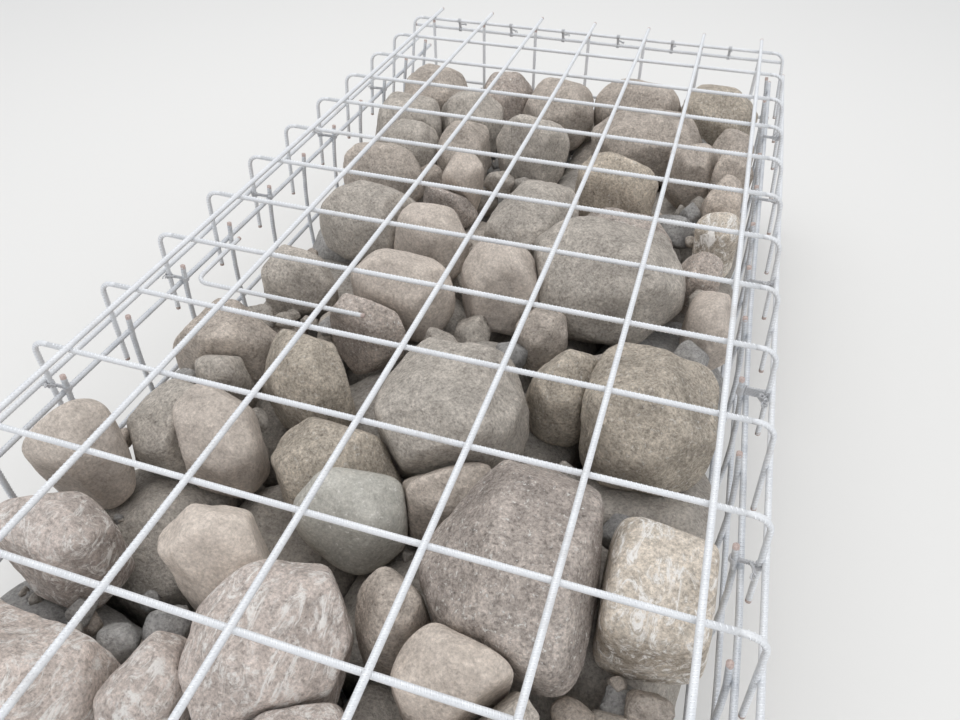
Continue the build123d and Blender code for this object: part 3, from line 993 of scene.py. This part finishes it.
def leg_path(side, y):
    """Bent-down end of a lid bar: it ends at one width, however far its bend is pushed out."""
    out = pushed(LID_OUT[side], y)
    top = LID_FLAT_HALF + BEND_LEAD + BEND_RADIUS + out
    end = BOX_HALF_WIDTH - CROSS_RADIUS - RIB_HEIGHT - BOX_MARGIN + min(0.0, out)
    lean = math.degrees(math.asin(max(0.0, (end - top) / LEG_LENGTH)))
    runs = ((BEND_LEAD,), (BEND_RADIUS, lean - 90), (LEG_LENGTH,))
    return bent_path((LID_FLAT_HALF + out, LID_CROSS_Z), runs)


def leg_x(side, y, z):
    """How far out the straight part of a leg is at a level."""
    return level_x(leg_path(side, y)[-LEG_POINTS:], z)


def upright_path(side, y):
    """Bent-up end of a tray bar, pushed out more the higher it is."""
    path = UPRIGHT_PATH.copy()
    rise = np.clip((path[:, 1] - TRAY_CROSS_Z) / TRAY_RAILS_Z[0], 0, 1)
    path[:, 0] += pushed(TRAY_OUT[side], y) * rise
    return path


def skirt_rail_x(side, y):
    """Middle of the skirt rail, which lies against the outside of the legs."""
    beside = leg_x(side, y, SKIRT_RAIL_Z) + CROSS_RADIUS + LONG_RADIUS
    return min(beside, BOX_HALF_WIDTH - LONG_RADIUS - RIB_HEIGHT - BOX_MARGIN)


def tray_rail_x(side, y, z):
    """Middle of a tray rail, which is welded to the outside of the uprights."""
    return level_x(upright_path(side, y), z) + 2 * TRAY_RADIUS - TRAY_RAIL_BITE


def along_wall(x_at, z, side):
    """Points of a long bar whose distance from the middle is x_at(y)."""
    ys = np.linspace(-BAR_END, BAR_END, ALONG_POINTS)
    return np.array([(x_at(y) * side, y, z) for y in ys])


def dress_lid():
    lid = Bars(CROSS_RADIUS)
    for y in CROSS_BARS:
        left, right = (LID_FLAT_HALF + pushed(LID_OUT[side], y) for side in (-1, 1))
        line = wobbly((-left, y, LID_CROSS_Z), (right, y, LID_CROSS_Z), CROSS_WOBBLE)
        lid.add(line, UP, cut=(False, False))
    long_z = LID_LONG_Z + BAR / 2 - LONG_RADIUS - RIB_HEIGHT - LID_MARGIN
    for x, (bow, shift) in zip(LONG_BARS, LONG_BOWS):
        line = wobbly((x, -BAR_END, long_z), (x, BAR_END, long_z), LONG_WOBBLE, ALONG_POINTS, LONG_SAG)
        line[:, 0] += shift + bow * np.sin(math.pi * np.linspace(0, 1, len(line))) ** BOW_POWER
        lid.add(line, UP, radius=LONG_RADIUS)
    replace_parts(lid.piece("lid_top_bars", STEEL_LID, "lid_steel"), "lid_top_mat")


def dress_side(name, side):
    skirt = Bars(CROSS_RADIUS)
    for y in CROSS_BARS:
        skirt.add(in_wall(leg_path(side, y), y, side), ALONG, cut=(False, True))
    rail = along_wall(lambda y: skirt_rail_x(side, y), SKIRT_RAIL_Z + SKIRT_RAIL_LIFT, side)
    skirt.add(rail, UP, radius=LONG_RADIUS)
    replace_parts(skirt.piece(f"lid_{name}_skirt_bars", STEEL_LID, "lid_steel"), f"lid_{name}_skirt")
    tray = Bars(TRAY_RADIUS)
    for y in CROSS_BARS:
        tray.add(in_wall(upright_path(side, y), y, side), ALONG, cut=(False, True))
    for z in TRAY_RAILS_Z:
        tray.add(along_wall(lambda y: tray_rail_x(side, y, z), z, side), UP)
    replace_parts(tray.piece(f"tray_{name}_bars", STEEL_TRAY_SHADED, "tray_steel"), f"tray_{name}_side")


def dress_base():
    base = Bars(BAR / 2)
    for y in CROSS_BARS:
        line = [(-TRAY_FLAT_HALF, y, TRAY_CROSS_Z), (TRAY_FLAT_HALF, y, TRAY_CROSS_Z)]
        base.add(line, UP, ribs=False, cut=(False, False))
    for x in LONG_BARS:
        base.add([(x, -BAR_END, TRAY_LONG_Z), (x, BAR_END, TRAY_LONG_Z)], UP, ribs=False)
    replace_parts(base.piece("tray_base_bars", STEEL_TRAY_SHADED, "tray_steel"), "tray_base_mat")


def end_rail_y(outward):
    return outward * (END_Y + SEAT_GAP + BAR)


def dress_end(end, outward):
    panel = Bars(CROSS_RADIUS)
    upright_y = outward * (END_Y + SEAT_GAP)
    rail_y = end_rail_y(outward)
    for x in LONG_BARS:
        panel.add([(x, upright_y, 2 * BAR), (x, upright_y, LID_CROSS_Z - BAR / 2)], (1, 0, 0))
    for z in END_RAILS_Z:
        panel.add(wobbly((-END_RAIL_HALF, rail_y, z), (END_RAIL_HALF, rail_y, z), RAIL_WOBBLE), UP)
    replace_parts(panel.piece(f"{end}_end_bars", STEEL_LID, "panel_steel"), f"{end}_end_panel")


def dress_cross_tie():
    tie = Bars(CROSS_RADIUS)
    points = [
        (CROSS_TIE_TIP_X, CROSS_TIE_Y, CROSS_TIE_Z),
        (HOOK_X + BEND_RADIUS, CROSS_TIE_Y, CROSS_TIE_Z),
    ]
    for i in range(1, ARC_STEPS + 1):
        angle = math.radians(90 * i / ARC_STEPS)
        x = HOOK_X + BEND_RADIUS * (1 - math.sin(angle))
        y = CROSS_TIE_Y + BEND_RADIUS * (1 - math.cos(angle))
        points.append((x, y, CROSS_TIE_Z))
    points.append((HOOK_X, CROSS_TIE_Y + HOOK_LENGTH, CROSS_TIE_Z))
    tie.add(points, UP)
    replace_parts(tie.piece("cross_tie_bar", STEEL_LID, "cross_tie_steel"), "cross_tie")


def dress_cage():
    dress_lid()
    for name, side in SIDES:
        dress_side(name, side)
    dress_base()
    for end, outward in ENDS:
        dress_end(end, outward)
    dress_cross_tie()


# Tie wires

SIDE_TIE_Z = 0.3972
SIDE_TIE_BAYS = (1, 3, 5, 7, 9, 11)
FRAYED_TIE = (1, 5)
FRAYED_TURNS = 5
TIE_TURNS = 2
WIRE_RADIUS = 0.0012
WIRE_SIDES = 6
TURN_STEP = 0.0032
TIE_SLACK = 0.0004
SIDE_TIE_SHIFT = (-0.004, 0.002)
END_TIE_SHIFT = 0.004
LOOP_STEPS = 12
LOOP_APART = 1.1
TWIST_STEPS = 22
TWIST_LENGTHS = (0.006, 0.009)
TWIST_SPREAD = 1.05
TWIST_FLATNESS = 0.9
TWIST_PINCH = 5
TAIL_STEPS = 24
TAIL_TWIST = 0.007
TAIL_BEND = 0.3
TAIL_OPENING = 14
TAIL_OPENS_AT = 0.82
TAIL_SHARE = 0.65
TAIL_ASIDE = 0.002
SIDE_TAIL_LENGTHS = (0.020, 0.032)
END_TAIL_LENGTHS = (0.018, 0.028)
END_TAIL_Y = 0.986


class Wires:
    """Thin wires along free paths, gathered into one mesh."""

    def __init__(self):
        self.verts, self.faces = [], []

    def add(self, strands):
        for points in strands:
            self.add_wire(np.array(points, float))

    def add_wire(self, points):
        tangents, _ = tangents_of(points)
        normal = Vector(tangents[0]).orthogonal().normalized()
        self.faces += tube_faces(len(self.verts), len(points), WIRE_SIDES)
        for point, tangent in zip(points, tangents):
            tangent = Vector(tangent)
            normal = (normal - tangent * normal.dot(tangent)).normalized()
            other = tangent.cross(normal)
            for j in range(WIRE_SIDES):
                angle = 2 * math.pi * j / WIRE_SIDES
                out = math.cos(angle) * normal + math.sin(angle) * other
                self.verts.append(tuple(Vector(point) + WIRE_RADIUS * out))

    def piece(self, name):
        return make_piece(name, self.verts, self.faces, [WIRE])


def half_loop(middle, aside, first, turn, reach, across, side):
    """Points half round a bar, from an angle in half turns, the turn 1 or -1 way round."""
    points = []
    for i in range(LOOP_STEPS + 1):
        angle = math.pi * (first + turn * i / LOOP_STEPS)
        points.append(middle + reach * (math.cos(angle) * across + math.sin(angle) * side) + aside)
    return points


def tie_strands(one, other, axis, bar_radius, local):
    """Two strands round a bar at one and a bar at other, twisted together between them."""
    reach = bar_radius + WIRE_RADIUS + TIE_SLACK
    one, other, axis = Vector(one), Vector(other), Vector(axis).normalized()
    across = other - one
    length = across.length
    across.normalize()
    side = axis.cross(across).normalized()
    twist = local.uniform(*TWIST_LENGTHS)
    strands = []
    for phase, first, turn in ((0.0, 0.5, 1), (math.pi, 1.5, -1)):
        aside = axis * WIRE_RADIUS * (-LOOP_APART * turn)
        points = half_loop(one, aside, first, turn, reach, across, side)
        for i in range(1, TWIST_STEPS):
            t = i / TWIST_STEPS
            pinch = min(1.0, TWIST_PINCH * min(t, 1 - t))
            spread = reach * (1 - pinch) + WIRE_RADIUS * TWIST_SPREAD * pinch
            angle = phase - math.pi / 2 + pinch * t * length / twist * 2 * math.pi
            out = math.cos(angle) * axis * TWIST_FLATNESS + math.sin(angle) * side
            points.append(one + across * (length * t) + spread * out)
        strands.append(points + half_loop(other, aside, first - 1, turn, reach, across, side))
    return strands


def pigtail(start, direction, length, local):
    """The twisted ends of a tie: two strands wound round each other, opening at the tip."""
    start, direction = Vector(start), Vector(direction).normalized()
    side = direction.orthogonal().normalized()
    other = direction.cross(side)
    bend = Vector([local.uniform(-1, 1) for _ in range(3)]) * length * TAIL_BEND
    strands = []
    for phase in (0, math.pi):
        points = []
        for i in range(TAIL_STEPS + 1):
            t = i / TAIL_STEPS
            angle = phase + t * length / TAIL_TWIST * 2 * math.pi
            spread = WIRE_RADIUS * (TWIST_SPREAD + TAIL_OPENING * max(0, t - TAIL_OPENS_AT))
            out = (side * math.cos(angle) + other * math.sin(angle)) * spread
            points.append(start + direction * (length * t) + bend * t * t + out)
        strands.append(points)
    return strands


def dress_side_ties(name, side, local):
    wires = Wires()
    for bay in SIDE_TIE_BAYS:
        y = CROSS_BARS[bay]
        inner = level_x(upright_path(side, y), SIDE_TIE_Z)
        outer = leg_x(side, y, SIDE_TIE_Z)
        level = SIDE_TIE_Z + local.uniform(*SIDE_TIE_SHIFT)
        turns = FRAYED_TURNS if (side, bay) == FRAYED_TIE else TIE_TURNS
        for turn in range(turns):
            z = level + turn * TURN_STEP
            wires.add(tie_strands((inner * side, y, z), (outer * side, y, z), UP, TRAY_RADIUS, local))
        between = inner * (1 - TAIL_SHARE) + outer * TAIL_SHARE
        start = (between * side, y - TAIL_ASIDE, level + TAIL_ASIDE)
        for _ in range(turns - 1):
            tail = (0.2 * side, local.uniform(-0.9, -0.5), local.uniform(0.3, 0.8))
            wires.add(pigtail(start, tail, local.uniform(*SIDE_TAIL_LENGTHS), local))
    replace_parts(wires.piece(f"{name}_side_tie_wires"), f"{name}_side_ties")


def dress_end_ties(end, outward, local):
    wires = Wires()
    rail_y = end_rail_y(outward)
    rail_z = END_RAILS_Z[0]
    cross_y = outward * END_Y
    for left, right in zip(LONG_BARS, LONG_BARS[1:]):
        middle = (left + right) / 2 + local.uniform(-END_TIE_SHIFT, END_TIE_SHIFT)
        for turn in range(TIE_TURNS):
            x = middle + turn * TURN_STEP
            rail, cross = (x, rail_y, rail_z), (x, cross_y, LID_CROSS_Z)
            wires.add(tie_strands(rail, cross, (1, 0, 0), CROSS_RADIUS, local))
        start = (middle, outward * END_TAIL_Y, (rail_z + LID_CROSS_Z) / 2)
        tail = (0.5, 0.9 * outward, -0.3)
        wires.add(pigtail(start, tail, local.uniform(*END_TAIL_LENGTHS), local))
    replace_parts(wires.piece(f"{end}_end_tie_wires"), f"{end}_end_ties")


def dress_ties():
    local = random.Random(TIE_SEED)
    for name, side in SIDES:
        dress_side_ties(name, side, local)
    for end, outward in ENDS:
        dress_end_ties(end, outward, local)


# Stage, light and camera

FLOOR_HALF = 14
FLOOR_TONE = (0.78, 0.77, 0.75, 1)
WORLD_TONE = (0.95, 0.97, 1.0, 1)
WORLD_STRENGTH = 0.88


def make_stage():
    material, _, shader = new_material("pale_floor")
    shader.inputs["Base Color"].default_value = FLOOR_TONE
    shader.inputs["Roughness"].default_value = 0.9
    mesh = bpy.data.meshes.new("floor")
    corners = [(x * FLOOR_HALF, y * FLOOR_HALF, 0) for x, y in ((-1, -1), (1, -1), (1, 1), (-1, 1))]
    mesh.from_pydata(corners, [], [(0, 1, 2, 3)])
    mesh.materials.append(material)
    floor = placed_object("floor", mesh)


def add_area(name, place, target, size, energy, color):
    light = bpy.data.lights.new(name, "AREA")
    light.shape = "DISK"
    light.size = size
    light.energy = energy
    light.color = color
    obj = placed_object(name, light)
    obj.location = place
    obj.rotation_euler = (Vector(target) - Vector(place)).to_track_quat("-Z", "Y").to_euler()


def make_lights():
    world = bpy.data.worlds.new("studio")
    bpy.context.scene.world = world
    world.use_nodes = True
    background = world.node_tree.nodes["Background"]
    background.inputs["Color"].default_value = WORLD_TONE
    background.inputs["Strength"].default_value = WORLD_STRENGTH
    add_area("sky_light", (-0.6, 1.2, 4.2), (0, 0, 0.3), size=3.6, energy=54, color=(1.0, 0.985, 0.96))
    add_area("front_light", (1.6, -3.2, 2.6), (0, -0.2, 0.3), size=2.4, energy=30, color=(0.97, 0.98, 1.0))


def make_camera():
    data = bpy.data.cameras.new("camera")
    data.sensor_width = SENSOR_WIDTH
    data.lens = LENS
    data.clip_start = CLIP_START
    camera = placed_object("camera", data)
    turn = Matrix((CAMERA_RIGHT, CAMERA_UP, CAMERA_BACK)).transposed().to_4x4()
    camera.matrix_world = Matrix.Translation(CAMERA_PLACE) @ turn
    bpy.context.scene.camera = camera


make_camera()
make_stage()
make_lights()
dress_rubble(dress_stones())
dress_cage()
dress_ties()

view = bpy.context.scene.view_settings
view.view_transform = "Standard"
